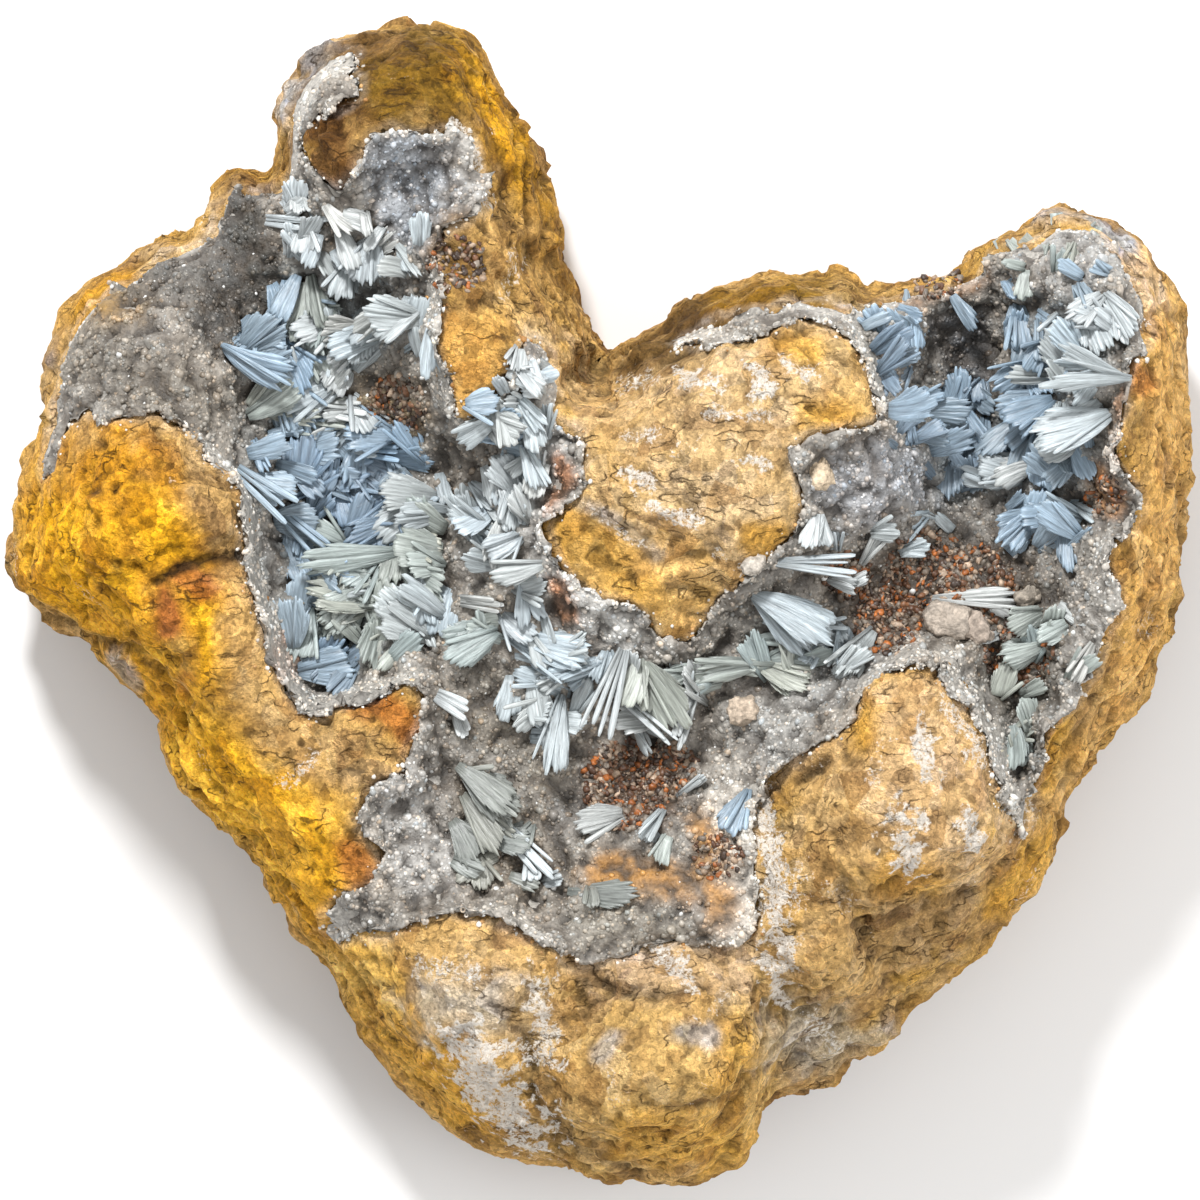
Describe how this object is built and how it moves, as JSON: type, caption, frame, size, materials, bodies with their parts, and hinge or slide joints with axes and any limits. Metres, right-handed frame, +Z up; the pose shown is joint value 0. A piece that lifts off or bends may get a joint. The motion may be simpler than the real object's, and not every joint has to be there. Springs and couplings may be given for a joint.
{
  "type": "barite specimen",
  "caption": "Heart-shaped piece of yellow-brown limonite whose hollows are lined with grey quartz druse and sprays of pale blue bladed barite; lies flat on its back.",
  "frame": {"origin": "bottom centre of the bounding box: in the plane that the flat back rests on, below the middle of the piece", "axes": "+Z up, out of the face that carries the crystals; +Y towards the top of the heart in the picture; +X to the right of the picture"},
  "size_m": [0.238, 0.2354, 0.0865],
  "materials": {
    "limonite": "dull earthy iron oxide, ochre yellow to brown, no coat",
    "quartz": "grey druse of small quartz points, sparkling, with white powdery edges",
    "barite": "pale grey-blue cleavable blades with a pearly to glassy shine"
  },
  "bodies": {
    "root": {"barite_centre": "barite", "barite_centre_top": "barite", "barite_channel": "barite", "barite_channel_top": "barite", "barite_dome": "barite", "barite_foot": "barite", "barite_gravel": "barite", "barite_hollow_top": "barite", "barite_left_hollow": "barite", "barite_lower": "barite", "barite_lower_fan": "barite", "barite_lower_right_fan": "barite", "barite_right_hollow": "barite", "barite_right_lower": "barite", "barite_ring": "barite", "barite_tongue_foot": "barite", "barite_tongue_side": "barite", "barite_tower": "barite", "barite_wedge": "barite", "limonite_matrix": "limonite", "quartz_crust": "quartz"}
  },
  "joints": []
}
